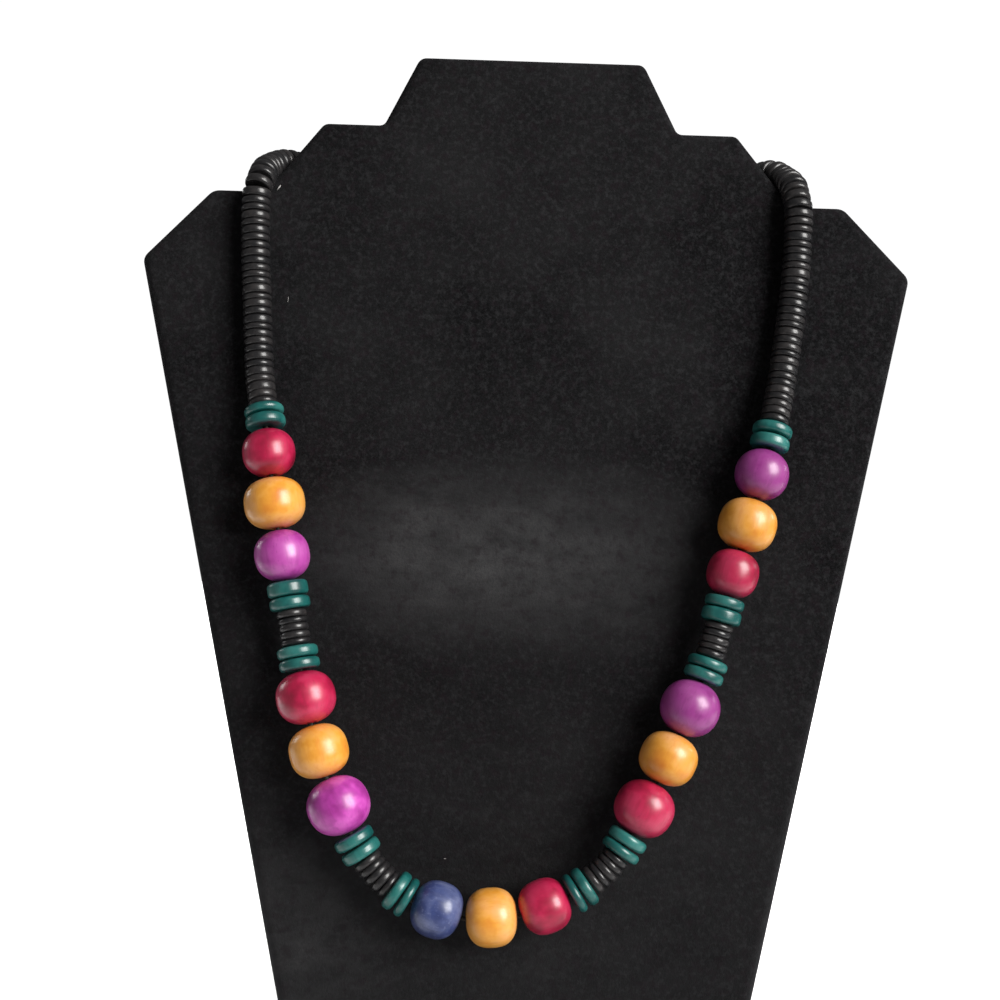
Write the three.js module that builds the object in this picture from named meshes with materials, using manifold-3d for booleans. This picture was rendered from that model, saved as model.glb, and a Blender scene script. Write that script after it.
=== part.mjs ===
// A beaded necklace hung on a stepped velvet display board. Millimetres, +Z up.
//
// The board stands on the plane z = 0, faces -Y and leans back on an easel leg. Everything on the
// board is placed in the board's own frame: x across, y up along its front face, z off that face.
// The necklace is one whole loop. It hangs in front of the board, goes over the shoulder ledge on
// each side, and closes behind the board at its clasp. Places on the loop are lengths along the
// thread, counted from the middle of the clasp.

import * as THREE from 'three';
import { mergeVertices } from 'three/addons/utils/BufferGeometryUtils.js';
import Module from 'manifold-3d';

// The board and its leg.
const LEAN = THREE.MathUtils.degToRad(14);
const BOARD_THICKNESS = 9;
const EDGE_ROUND = 3;
const CORNER_STEPS = 2;
// Half of the outline, from below the foot to the top: half width, height along the board, and
// how far from the corner its rounding begins.
const BOARD_OUTLINE = [
  { half: 51.4, up: -7, round: 2 },
  { half: 111.1, up: 255.2, round: 2 },
  { half: 91.8, up: 276, round: 2 },
  { half: 76, up: 276, round: 1.5 },
  { half: 74, up: 279, round: 1 },
  { half: 70.5, up: 282.5, round: 1.5 },
  { half: 60.4, up: 297.1, round: 1.5 },
  { half: 43.1, up: 297.1, round: 1.5 },
  { half: 33, up: 318.2, round: 2 },
];
const LEG_THICKNESS = 2.5;
const LEG_SPREAD = THREE.MathUtils.degToRad(17);
const LEG_CREASE_UP = 198;
const LEG_TAB_HEIGHT = 32;
const LEG_TOP_WIDTH = 46;
const LEG_FOOT_WIDTH = 82;
// A block under the table's plane, wide and deep enough to cut the board's foot level.
const FLOOR_BLOCK = { width: 300, depth: 100, height: 40 };

// Gap left between neighbouring pieces.
const GAP = 0.3;
// Sides of the beads, green discs and clasp.
const ROUND_SIDES = 12;

// The thread and what it is drawn through.
const THREAD_RADIUS = 0.6;
const THREAD_SIDES = 6;
const HOLE_RADIUS = 1.1;
const CLASP = { length: 13, radius: 3.2, neckRadius: 1.9, neckLength: 1.4, rim: 0.7 };

// Round wooden beads: how square their section is, and the flat ring at each end that meets the
// next bead.
const BEAD_SQUARENESS = 2.5;
const BEAD_STEPS = 8;
const BEAD_FACE_RADIUS = 3;
// Green discs.
const GREEN_RADIUS = 5.6;
const GREEN_ROUND = 0.8;
const GREEN_FACE_RADIUS = 4.2;
// Black discs, joined along their thread.
const BLACK_RADIUS = 4.15;
const BLACK_THICKNESS = 1.88;
const BLACK_FACE_RADIUS = 3;
// Play between neighbouring black discs, in the short front runs and in the two long runs.
const SHORT_RUN_PLAY = 0.05;
const LONG_RUN_PLAY = 0.28;
const BLACK_WAIST = 2;
const BLACK_RIM = 0.25;
const BLACK_SIDES = 8;
const BLACK_RUN_COUNT = 5;

const FINISHES = {
  red: { color: 0xb02a55, roughness: 0.3, metalness: 0 },
  orange: { color: 0xe8943a, roughness: 0.3, metalness: 0 },
  purple: { color: 0x9a2fa8, roughness: 0.3, metalness: 0 },
  blue: { color: 0x4a5690, roughness: 0.35, metalness: 0 },
  green: { color: 0x2b7a70, roughness: 0.35, metalness: 0 },
  black: { color: 0x17140f, roughness: 0.25, metalness: 0 },
  velvet: { color: 0x101012, roughness: 1, metalness: 0 },
  card: { color: 0x161616, roughness: 0.9, metalness: 0 },
  thread: { color: 0x1a1815, roughness: 0.8, metalness: 0 },
  brass: { color: 0xb08a4a, roughness: 0.3, metalness: 1 },
};

// What hangs in front, in order from the left strand round the bottom to the right strand. A bead
// has a diameter and a length along the thread, a green disc a thickness, and a black run is
// BLACK_RUN_COUNT discs.
const STRING = [
  { kind: 'green', length: 2.5 },
  { kind: 'green', length: 3.2 },
  { kind: 'red', diameter: 14.7, length: 13.4 },
  { kind: 'orange', diameter: 16.9, length: 14.2 },
  { kind: 'purple', diameter: 15.2, length: 14 },
  { kind: 'green', length: 4 },
  { kind: 'green', length: 3.3 },
  { kind: 'black' },
  { kind: 'green', length: 3.1 },
  { kind: 'green', length: 3 },
  { kind: 'red', diameter: 16.3, length: 14.4 },
  { kind: 'orange', diameter: 16.2, length: 14.2 },
  { kind: 'purple', diameter: 17.2, length: 15.4 },
  { kind: 'green', length: 3.2 },
  { kind: 'green', length: 3.3 },
  { kind: 'black' },
  { kind: 'green', length: 3 },
  { kind: 'green', length: 2.3 },
  { kind: 'blue', diameter: 15.2, length: 13.5 },
  { kind: 'orange', diameter: 15.7, length: 13.7 },
  { kind: 'red', diameter: 14.6, length: 13.5 },
  { kind: 'green', length: 2.4 },
  { kind: 'green', length: 2.9 },
  { kind: 'black' },
  { kind: 'green', length: 2.7 },
  { kind: 'green', length: 3.1 },
  { kind: 'red', diameter: 16.4, length: 14.8 },
  { kind: 'orange', diameter: 15.8, length: 13.9 },
  { kind: 'purple', diameter: 16.5, length: 15.3 },
  { kind: 'green', length: 3.1 },
  { kind: 'green', length: 2.8 },
  { kind: 'black' },
  { kind: 'green', length: 3.8 },
  { kind: 'green', length: 3 },
  { kind: 'red', diameter: 14.4, length: 13.2 },
  { kind: 'orange', diameter: 16.3, length: 14.5 },
  { kind: 'purple', diameter: 15.1, length: 14.2 },
  { kind: 'green', length: 3.4 },
  { kind: 'green', length: 3 },
];
// Length along the thread from the middle of the clasp to the first green disc.
const STRING_START = 159.5;

// The thread's route in the board's frame. It starts at the clasp behind the board, comes over
// the left shoulder ledge, hangs down the front and goes back over the right shoulder ledge.
const ROUTE = [
  { across: 0, up: 281.5, off: -18.6 },
  { across: -24, up: 282.2, off: -18 },
  { across: -46, up: 284.4, off: -16.8 },
  { across: -59, up: 286.3, off: -15.4 },
  { across: -67.9, up: 287.5, off: -13 },
  { across: -72.3, up: 286.9, off: -8.4 },
  { across: -75.9, up: 283.4, off: -3 },
  { across: -76.9, up: 281.2, off: 0.5 },
  { across: -77.3, up: 277.8, off: 3.4 },
  { across: -78.1, up: 274.6, off: 4.7 },
  { across: -78.4, up: 270.6, off: 4.7 },
  { across: -78, up: 257.1, off: 4.6 },
  { across: -76.6, up: 237.4, off: 4.6 },
  { across: -75, up: 218.7, off: 5.4 },
  { across: -72.2, up: 203.2, off: 8 },
  { across: -69.2, up: 182.9, off: 9.2 },
  { across: -64.7, up: 159.9, off: 8.6 },
  { across: -58.6, up: 130.3, off: 9.2 },
  { across: -54.3, up: 115.1, off: 9.5 },
  { across: -47.9, up: 99.5, off: 9.5 },
  { across: -36.7, up: 83.2, off: 8.8 },
  { across: -21.5, up: 74.3, off: 8.9 },
  { across: -6.2, up: 72.9, off: 9 },
  { across: 8.3, up: 76.4, off: 8.9 },
  { across: 23.4, up: 86.6, off: 8.8 },
  { across: 33.5, up: 102.3, off: 9.2 },
  { across: 40.2, up: 116.6, off: 9.2 },
  { across: 50.4, up: 141.2, off: 8.8 },
  { across: 57.5, up: 167.2, off: 9 },
  { across: 64.2, up: 189.3, off: 9.2 },
  { across: 68.4, up: 205.8, off: 8.5 },
  { across: 71.8, up: 221.3, off: 5.8 },
  { across: 74.6, up: 239.1, off: 4.6 },
  { across: 76.6, up: 256.9, off: 4.6 },
  { across: 77.2, up: 272.7, off: 4.8 },
  { across: 76.8, up: 277.2, off: 3.4 },
  { across: 76.5, up: 281.1, off: 1.1 },
  { across: 75.2, up: 284.3, off: -3.2 },
  { across: 72.6, up: 287.6, off: -7 },
  { across: 68.7, up: 288.6, off: -12 },
  { across: 60.2, up: 287.6, off: -15.2 },
  { across: 45.9, up: 284.9, off: -16.8 },
  { across: 23.3, up: 282.2, off: -18 },
];
// The route is cut into this many steps to carry a frame along it without twist.
const FRAME_STEPS = 4000;
// Where the long black runs are parted into front, bend and back solids.
const BEND_FROM_UP = 268;
const BACK_WITHIN = 60;

const wasm = await Module();
wasm.setup();

// ---- Meshes and solids ----

function toSolid(geometry) {
  const bare = geometry.clone();
  bare.deleteAttribute('normal');
  bare.deleteAttribute('uv');
  const merged = mergeVertices(bare);
  return new wasm.Manifold(new wasm.Mesh({
    numProp: 3,
    vertProperties: new Float32Array(merged.attributes.position.array),
    triVerts: new Uint32Array(merged.index.array),
  }));
}

function toGeometry(solid) {
  const mesh = solid.getMesh();
  const geometry = new THREE.BufferGeometry();
  geometry.setAttribute('position', new THREE.BufferAttribute(mesh.vertProperties, 3));
  geometry.setIndex(new THREE.BufferAttribute(mesh.triVerts, 1));
  geometry.computeVertexNormals();
  return geometry;
}

function makeMesh(name, geometry, finish) {
  const mesh = new THREE.Mesh(geometry, new THREE.MeshStandardMaterial(FINISHES[finish]));
  mesh.name = name;
  return mesh;
}

// ---- The stand ----

// A closed outline through the corners, with each corner rounded by its own amount.
function roundedShape(corners) {
  const shape = new THREE.Shape();
  corners.forEach(({ point, round }, i) => {
    const before = corners[(i + corners.length - 1) % corners.length].point;
    const after = corners[(i + 1) % corners.length].point;
    const enter = point.clone().add(before.clone().sub(point).setLength(round));
    const leave = point.clone().add(after.clone().sub(point).setLength(round));
    if (i === 0) {
      shape.moveTo(enter.x, enter.y);
    } else {
      shape.lineTo(enter.x, enter.y);
    }
    shape.quadraticCurveTo(point.x, point.y, leave.x, leave.y);
  });
  shape.closePath();
  return shape;
}

// The velvet board: rounded edges all round, and its foot cut level with the table.
function makeBoard() {
  const sideCorners = (side) => BOARD_OUTLINE.map(
    ({ half, up, round }) => ({ point: new THREE.Vector2(side * half, up), round }));
  const corners = [...sideCorners(1), ...sideCorners(-1).reverse()];
  const slab = new THREE.ExtrudeGeometry(roundedShape(corners), {
    depth: BOARD_THICKNESS - 2 * EDGE_ROUND,
    curveSegments: CORNER_STEPS,
    bevelThickness: EDGE_ROUND,
    bevelSize: EDGE_ROUND,
    bevelOffset: -EDGE_ROUND,
    bevelSegments: 2,
  });
  slab.translate(0, 0, EDGE_ROUND - BOARD_THICKNESS);
  slab.rotateX(Math.PI / 2 - LEAN);
  const floor = new THREE.BoxGeometry(FLOOR_BLOCK.width, FLOOR_BLOCK.depth, FLOOR_BLOCK.height);
  floor.translate(0, 0, -FLOOR_BLOCK.height / 2);
  return toGeometry(toSolid(slab).subtract(toSolid(floor)));
}

// The easel leg: a strip whose top is a tab flat on the board's back, creased and spread to the
// table, and wider at its foot. Its side view is drawn in the YZ plane.
function makeLeg() {
  const alongBoard = new THREE.Vector2(Math.sin(LEAN), Math.cos(LEAN));
  const offBack = new THREE.Vector2(Math.cos(LEAN), -Math.sin(LEAN));
  const alongLeg = new THREE.Vector2(Math.sin(LEG_SPREAD), -Math.cos(LEG_SPREAD));
  const offLeg = new THREE.Vector2(Math.cos(LEG_SPREAD), Math.sin(LEG_SPREAD));
  const onBoard = (up, off) => alongBoard.clone().multiplyScalar(up).addScaledVector(offBack, off);
  const toTable = (point) => point.clone().addScaledVector(alongLeg, -point.y / alongLeg.y);
  const inner = BOARD_THICKNESS + GAP;
  const outer = inner + LEG_THICKNESS;
  const creaseInner = onBoard(LEG_CREASE_UP, inner);
  const halfBend = (LEAN + LEG_SPREAD) / 2;
  const creaseOuter = onBoard(LEG_CREASE_UP + LEG_THICKNESS * Math.tan(halfBend), outer);
  const side = [
    onBoard(LEG_CREASE_UP + LEG_TAB_HEIGHT, inner),
    creaseInner,
    toTable(creaseInner),
    toTable(creaseInner.clone().addScaledVector(offLeg, LEG_THICKNESS)),
    creaseOuter,
    onBoard(LEG_CREASE_UP + LEG_TAB_HEIGHT, outer),
  ];
  const strip = new THREE.ExtrudeGeometry(new THREE.Shape(side), { depth: 1, bevelEnabled: false });
  strip.translate(0, 0, -0.5);
  const place = strip.attributes.position;
  const top = side[0].y;
  for (let i = 0; i < place.count; i += 1) {
    const y = place.getX(i);
    const z = place.getY(i);
    const width = THREE.MathUtils.lerp(LEG_FOOT_WIDTH, LEG_TOP_WIDTH, z / top);
    place.setXYZ(i, place.getZ(i) * width, y, z);
  }
  return strip;
}

// ---- The thread's route ----

const route = new THREE.CatmullRomCurve3(
  ROUTE.map(({ across, up, off }) => new THREE.Vector3(across, up, off)), true, 'centripetal');
route.arcLengthDivisions = FRAME_STEPS;
const LOOP = route.getLength();
const frames = route.computeFrenetFrames(FRAME_STEPS, true);

const pointAt = (along) => route.getPointAt(THREE.MathUtils.euclideanModulo(along / LOOP, 1));
const frameIndex = (along) =>
  Math.round(THREE.MathUtils.euclideanModulo(along / LOOP, 1) * FRAME_STEPS) % FRAME_STEPS;

// Angle between the thread's directions at two places.
function turnBetween(alongA, alongB) {
  return frames.tangents[frameIndex(alongA)].angleTo(frames.tangents[frameIndex(alongB)]);
}

// How far two pieces part at the thread when their faces touch at the inside of a bend.
function fanGap(alongA, alongB, faceRadius) {
  return 2 * faceRadius * Math.tan(turnBetween(alongA, alongB) / 2);
}

// Bends a solid of revolution along the thread: its height becomes length along the thread.
function bendAlong(geometry) {
  const place = geometry.attributes.position;
  const frame = new THREE.Matrix4();
  const point = new THREE.Vector3();
  for (let i = 0; i < place.count; i += 1) {
    const along = place.getY(i);
    const index = frameIndex(along);
    frame.makeBasis(frames.binormals[index], frames.tangents[index], frames.normals[index]);
    point.set(place.getX(i), 0, place.getZ(i)).applyMatrix4(frame).add(pointAt(along));
    place.setXYZ(i, point.x, point.y, point.z);
  }
  geometry.computeVertexNormals();
  return geometry;
}

// Sets a straight piece on the thread, so that its axis joins two places on the route.
function setOnThread(mesh, start, end) {
  const from = pointAt(start);
  const to = pointAt(end);
  mesh.position.copy(from).add(to).multiplyScalar(0.5);
  mesh.quaternion.setFromUnitVectors(new THREE.Vector3(0, 1, 0), to.sub(from).normalize());
  return mesh;
}

// ---- Beads, discs, thread and clasp ----

const profile = (rows) => rows.map(([radius, height]) => new THREE.Vector2(radius, height));

// A round bead with flattened ends and a hole, about the Y axis.
function makeBead(diameter, length) {
  const radius = diameter / 2;
  const power = 2 / BEAD_SQUARENESS;
  const endAngle = Math.acos((HOLE_RADIUS / radius) ** (1 / power));
  const outside = Array.from({ length: BEAD_STEPS + 1 }, (_, i) => {
    const angle = THREE.MathUtils.lerp(-endAngle, endAngle, i / BEAD_STEPS);
    const height = Math.sign(angle) * Math.abs(Math.sin(angle)) ** power * (length / 2);
    return [radius * Math.cos(angle) ** power, height];
  });
  return new THREE.LatheGeometry(profile([...outside, outside[0]]), ROUND_SIDES);
}

// A flat disc with a rounded rim and a hole, about the Y axis.
function makeGreenDisc(length) {
  const half = length / 2;
  return new THREE.LatheGeometry(profile([
    [HOLE_RADIUS, -half],
    [GREEN_RADIUS - GREEN_ROUND, -half],
    [GREEN_RADIUS, GREEN_ROUND - half],
    [GREEN_RADIUS, half - GREEN_ROUND],
    [GREEN_RADIUS - GREEN_ROUND, half],
    [HOLE_RADIUS, half],
    [HOLE_RADIUS, -half],
  ]), ROUND_SIDES);
}

// Black discs joined along their thread, from the lengths at which each disc starts.
function makeBlackRun(starts) {
  const rows = [[0, starts[0]], [BLACK_WAIST, starts[0]]];
  starts.forEach((start, i) => {
    const end = start + BLACK_THICKNESS;
    rows.push([BLACK_RADIUS, THREE.MathUtils.lerp(start, end, BLACK_RIM)]);
    rows.push([BLACK_RADIUS, THREE.MathUtils.lerp(end, start, BLACK_RIM)]);
    rows.push([BLACK_WAIST, i + 1 < starts.length ? (end + starts[i + 1]) / 2 : end]);
  });
  rows.push([0, starts.at(-1) + BLACK_THICKNESS]);
  return bendAlong(new THREE.LatheGeometry(profile(rows), BLACK_SIDES));
}

// One stretch of bare thread, straight between the given places.
function makeThread(places) {
  const rows = [[0, places[0]], ...places.map((along) => [THREAD_RADIUS, along]), [0, places.at(-1)]];
  return bendAlong(new THREE.LatheGeometry(profile(rows), THREAD_SIDES));
}

// A closed barrel clasp, plain and in one piece.
function makeClasp() {
  const half = CLASP.length / 2;
  const shoulder = half - CLASP.neckLength;
  return new THREE.LatheGeometry(profile([
    [0, -half],
    [CLASP.neckRadius, -half],
    [CLASP.neckRadius, -shoulder],
    [CLASP.radius, CLASP.rim - shoulder],
    [CLASP.radius, shoulder - CLASP.rim],
    [CLASP.neckRadius, shoulder],
    [CLASP.neckRadius, half],
    [0, half],
  ]), ROUND_SIDES);
}

// ---- Stringing ----

// Starts of black discs strung one after another from a place, towards +1 or -1 along the thread,
// up to a count of discs or a limit along the thread.
function blackStarts({ from, direction, play, count = Infinity, limit = direction * Infinity }) {
  const pitch = BLACK_THICKNESS + play;
  const starts = [];
  let edge = from;
  while (starts.length < count && (limit - edge) * direction >= BLACK_THICKNESS) {
    const low = direction > 0 ? edge : edge - BLACK_THICKNESS;
    starts.push(low);
    const middle = low + BLACK_THICKNESS / 2;
    const nextMiddle = middle + direction * pitch;
    edge += direction * (pitch + fanGap(middle, nextMiddle, BLACK_FACE_RADIUS));
  }
  return direction > 0 ? starts : starts.reverse();
}

const necklace = new THREE.Group();
const counts = {};

// The next free name of a kind, such as red_bead_3.
function nextName(kind) {
  counts[kind] = (counts[kind] ?? 0) + 1;
  return `${kind}_${counts[kind]}`;
}

// Strings the front with its beads, discs and short black runs, and returns where it ends.
function stringFront() {
  let edge = STRING_START;
  let threadPlaces = [];
  STRING.forEach((item, i) => {
    if (item.kind === 'black') {
      const starts = blackStarts({
        from: edge, direction: 1, play: SHORT_RUN_PLAY, count: BLACK_RUN_COUNT });
      necklace.add(makeMesh(nextName('black_discs'), makeBlackRun(starts), 'black'));
      edge = starts.at(-1) + BLACK_THICKNESS + GAP;
      return;
    }
    const end = edge + item.length;
    const isDisc = item.kind === 'green';
    const geometry = isDisc ? makeGreenDisc(item.length) : makeBead(item.diameter, item.length);
    const name = nextName(`${item.kind}_${isDisc ? 'disc' : 'bead'}`);
    necklace.add(setOnThread(makeMesh(name, geometry, item.kind), edge, end));
    threadPlaces.push(edge, end);

    const next = STRING[i + 1];
    const nextLength = next?.length ?? BLACK_THICKNESS;
    const faceRadius = isDisc && next?.kind === 'green' ? GREEN_FACE_RADIUS : BEAD_FACE_RADIUS;
    edge = end + GAP + fanGap(end - item.length / 2, end + nextLength / 2, faceRadius);
    if (next === undefined || next.kind === 'black') {
      necklace.add(makeMesh(nextName('thread'), makeThread(threadPlaces), 'thread'));
      threadPlaces = [];
    }
  });
  return edge;
}

// Parts a long run's discs into the front, bend and back stretches, and adds a solid for each.
function addLongRun(side, starts) {
  const stretches = { front: [], bend: [], back: [] };
  starts.forEach((start) => {
    const { x: across, y: up, z: off } = pointAt(start + BLACK_THICKNESS / 2);
    if (off > 0 && up < BEND_FROM_UP) {
      stretches.front.push(start);
    } else if (off < 0 && Math.abs(across) < BACK_WITHIN) {
      stretches.back.push(start);
    } else {
      stretches.bend.push(start);
    }
  });
  Object.entries(stretches).forEach(([stretch, list]) => {
    necklace.add(makeMesh(`black_discs_${side}_${stretch}`, makeBlackRun(list), 'black'));
  });
}

const frontEnd = stringFront();
const claspEdge = CLASP.length / 2 + GAP;
addLongRun('left', blackStarts({
  from: STRING_START - GAP, direction: -1, play: LONG_RUN_PLAY, limit: claspEdge }));
addLongRun('right', blackStarts({
  from: frontEnd, direction: 1, play: LONG_RUN_PLAY, limit: LOOP - claspEdge }));
const clasp = makeMesh('clasp', makeClasp(), 'brass');
necklace.add(setOnThread(clasp, -CLASP.length / 2, CLASP.length / 2));
necklace.rotation.x = Math.PI / 2 - LEAN;

// ---- The whole, with its origin at the middle of its footprint ----

const model = new THREE.Group();
model.add(makeMesh('stand_board', makeBoard(), 'velvet'));
model.add(makeMesh('stand_leg', makeLeg(), 'card'));
model.add(necklace);
const box = new THREE.Box3().setFromObject(model, true);
const middle = box.getCenter(new THREE.Vector3());
model.position.set(-middle.x, -middle.y, 0);

export default model;
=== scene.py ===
# Looks of a beaded necklace on its stepped velvet display board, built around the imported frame.
#
# Metres, +Z up. As in the CAD, what is on the board is made in the board's own frame: x across, y
# up along its front face, z off that face. Places on the necklace are lengths along its thread,
# counted from the middle of the clasp.

import math

import bpy
import numpy as np
from mathutils import Matrix, Vector, noise


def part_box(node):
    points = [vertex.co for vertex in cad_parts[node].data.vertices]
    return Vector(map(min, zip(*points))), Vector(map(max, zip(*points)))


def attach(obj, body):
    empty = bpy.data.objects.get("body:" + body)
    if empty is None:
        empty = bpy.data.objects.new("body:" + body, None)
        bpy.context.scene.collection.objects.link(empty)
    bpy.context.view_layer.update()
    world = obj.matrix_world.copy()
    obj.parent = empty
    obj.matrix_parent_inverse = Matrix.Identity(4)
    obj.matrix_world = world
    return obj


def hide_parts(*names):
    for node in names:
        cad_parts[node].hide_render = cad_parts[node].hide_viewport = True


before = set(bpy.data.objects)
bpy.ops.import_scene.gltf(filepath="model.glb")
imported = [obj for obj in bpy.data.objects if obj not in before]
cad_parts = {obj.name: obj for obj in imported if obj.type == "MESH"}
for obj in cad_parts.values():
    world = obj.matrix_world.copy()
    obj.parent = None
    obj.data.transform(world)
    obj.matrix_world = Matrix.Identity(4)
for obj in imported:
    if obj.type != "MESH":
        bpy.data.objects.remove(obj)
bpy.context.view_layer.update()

MM = 0.001
SEED = 20

# ---- Sizes shared with the CAD, apart from the outline's notches ----

LEAN = math.radians(14)
BOARD_THICKNESS = 9 * MM
# Half of the board's outline, from below the foot to the top, in mm: half width, height, and how
# far from the corner its rounding begins. The three rows from 76.8 are the notch over each ledge,
# up to 0.9 mm fuller than the CAD's, so that the velvet closes up to the discs.
BOARD_OUTLINE = [
    {"half": 51.4, "up": -7, "round": 2},
    {"half": 111.1, "up": 255.2, "round": 2},
    {"half": 91.8, "up": 276, "round": 2},
    {"half": 76.8, "up": 276, "round": 1.5},
    {"half": 74.9, "up": 279, "round": 1},
    {"half": 71.3, "up": 282.9, "round": 1.5},
    {"half": 60.4, "up": 297.1, "round": 1.5},
    {"half": 43.1, "up": 297.1, "round": 1.5},
    {"half": 33, "up": 318.2, "round": 2},
]
LEG_THICKNESS = 2.5 * MM
LEG_SPREAD = math.radians(17)
LEG_CREASE_UP = 198 * MM
LEG_TAB_HEIGHT = 32 * MM
LEG_TOP_WIDTH = 46 * MM
LEG_FOOT_WIDTH = 82 * MM
GAP = 0.3 * MM
THREAD_RADIUS = 0.6 * MM
HOLE_RADIUS = 1.1 * MM
BEAD_FACE_RADIUS = 3 * MM
GREEN_RADIUS = 5.6 * MM
GREEN_FACE_RADIUS = 4.2 * MM
BLACK_RADIUS = 4.15 * MM
BLACK_THICKNESS = 1.88 * MM
BLACK_FACE_RADIUS = 3 * MM
SHORT_RUN_PLAY = 0.05 * MM
LONG_RUN_PLAY = 0.28 * MM
BLACK_RUN_COUNT = 5
CLASP_LENGTH = 13 * MM
CLASP_RADIUS = 3.2 * MM
CLASP_NECK_RADIUS = 1.9 * MM
CLASP_NECK_LENGTH = 1.4 * MM
BEND_FROM_UP = 268 * MM
BACK_WITHIN = 60 * MM
STRING_START = 159.5 * MM

# What hangs in front, from the left strand round the bottom to the right strand, in mm. A bead
# also says how square its section is, where 2 is an ellipse, and a shade that scales its dye:
# partly its own dye, partly painted light, paler on the left strand and darker on the right.
STRING = [
    {"kind": "green", "length": 2.5},
    {"kind": "green", "length": 3.2},
    {"kind": "red", "diameter": 14.7, "length": 13.4, "square": 2.3, "shade": 1.13},
    {"kind": "orange", "diameter": 16.9, "length": 14.2, "square": 2.45, "shade": 1.13},
    {"kind": "purple", "diameter": 15.2, "length": 14, "square": 2.3, "shade": 1.28},
    {"kind": "green", "length": 4},
    {"kind": "green", "length": 3.3},
    {"kind": "black"},
    {"kind": "green", "length": 3.1},
    {"kind": "green", "length": 3},
    {"kind": "red", "diameter": 16.3, "length": 14.4, "square": 2.3, "shade": 1.22},
    {"kind": "orange", "diameter": 16.2, "length": 14.2, "square": 2.4, "shade": 1.13},
    {"kind": "purple", "diameter": 17.2, "length": 15.4, "square": 2.2, "shade": 1.62},
    {"kind": "green", "length": 3.2},
    {"kind": "green", "length": 3.3},
    {"kind": "black"},
    {"kind": "green", "length": 3},
    {"kind": "green", "length": 2.3},
    {"kind": "blue", "diameter": 15.2, "length": 13.5, "square": 2.4, "shade": 1.15},
    {"kind": "orange", "diameter": 15.7, "length": 13.7, "square": 2.55, "shade": 1.12},
    {"kind": "red", "diameter": 14.6, "length": 13.5, "square": 2.5, "shade": 1.08},
    {"kind": "green", "length": 2.4},
    {"kind": "green", "length": 2.9},
    {"kind": "black"},
    {"kind": "green", "length": 2.7},
    {"kind": "green", "length": 3.1},
    {"kind": "red", "diameter": 16.4, "length": 14.8, "square": 2.25, "shade": 1.06},
    {"kind": "orange", "diameter": 15.8, "length": 13.9, "square": 2.4, "shade": 1},
    {"kind": "purple", "diameter": 16.5, "length": 15.3, "square": 2.15, "shade": 0.82},
    {"kind": "green", "length": 3.1},
    {"kind": "green", "length": 2.8},
    {"kind": "black"},
    {"kind": "green", "length": 3.8},
    {"kind": "green", "length": 3},
    {"kind": "red", "diameter": 14.4, "length": 13.2, "square": 2.4, "shade": 0.92},
    {"kind": "orange", "diameter": 16.3, "length": 14.5, "square": 2.4, "shade": 1},
    {"kind": "purple", "diameter": 15.1, "length": 14.2, "square": 2.15, "shade": 0.82},
    {"kind": "green", "length": 3.4},
    {"kind": "green", "length": 3},
]

# The thread's route: millimetres across, up and off the board, from the clasp behind it over the
# left shoulder ledge, down the front and back over the right shoulder ledge.
ROUTE = [
    (0, 281.5, -18.6), (-24, 282.2, -18), (-46, 284.4, -16.8), (-59, 286.3, -15.4),
    (-67.9, 287.5, -13), (-72.3, 286.9, -8.4), (-75.9, 283.4, -3), (-76.9, 281.2, 0.5),
    (-77.3, 277.8, 3.4), (-78.1, 274.6, 4.7), (-78.4, 270.6, 4.7), (-78, 257.1, 4.6),
    (-76.6, 237.4, 4.6), (-75, 218.7, 5.4), (-72.2, 203.2, 8), (-69.2, 182.9, 9.2),
    (-64.7, 159.9, 8.6), (-58.6, 130.3, 9.2), (-54.3, 115.1, 9.5), (-47.9, 99.5, 9.5),
    (-36.7, 83.2, 8.8), (-21.5, 74.3, 8.9), (-6.2, 72.9, 9), (8.3, 76.4, 8.9),
    (23.4, 86.6, 8.8), (33.5, 102.3, 9.2), (40.2, 116.6, 9.2), (50.4, 141.2, 8.8),
    (57.5, 167.2, 9), (64.2, 189.3, 9.2), (68.4, 205.8, 8.5), (71.8, 221.3, 5.8),
    (74.6, 239.1, 4.6), (76.6, 256.9, 4.6), (77.2, 272.7, 4.8), (76.8, 277.2, 3.4),
    (76.5, 281.1, 1.1), (75.2, 284.3, -3.2), (72.6, 287.6, -7), (68.7, 288.6, -12),
    (60.2, 287.6, -15.2), (45.9, 284.9, -16.8), (23.3, 282.2, -18),
]
ROUTE_STEPS = 4000

# ---- Sizes of the fine surface ----

EDGE_ROUND = 3 * MM
EDGE_STEPS = 7
CORNER_STEPS = 6
SMALLEST_ROUND = 0.3 * MM
VELVET_TURN_IN = 14 * MM
BACK_PAPER_RECESS = 0.4 * MM
BACK_PAPER_EDGE = 0.2 * MM
LEG_BEVEL = 0.6 * MM
BEAD_SIDES = 64
BEAD_ROWS = 36
BEAD_CHAMFER = 0.5 * MM
BEAD_HOLE_ROWS = 5
# How much narrower an uneven bead gets, and the number of its swellings in a metre.
BEAD_UNEVEN = 0.012
BEAD_SWELLINGS = 110
DISC_SIDES = 48
BLACK_SIDES = 32
GREEN_ROUND = 1.15 * MM
GREEN_SMALLEST = 0.975
GREEN_SHADES = (0.95, 1.2)
BLACK_ROUND = 0.85 * MM
BLACK_LENGTH_JITTER = 0.28 * MM
BLACK_LENGTH_SHARE = 0.1
BLACK_RADIUS_JITTER = 0.012
BLACK_TILT = math.radians(1.3)
BLACK_PARTING = 0.08 * MM
THREAD_SIDES = 8
THREAD_STEP = 1.2 * MM
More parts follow.
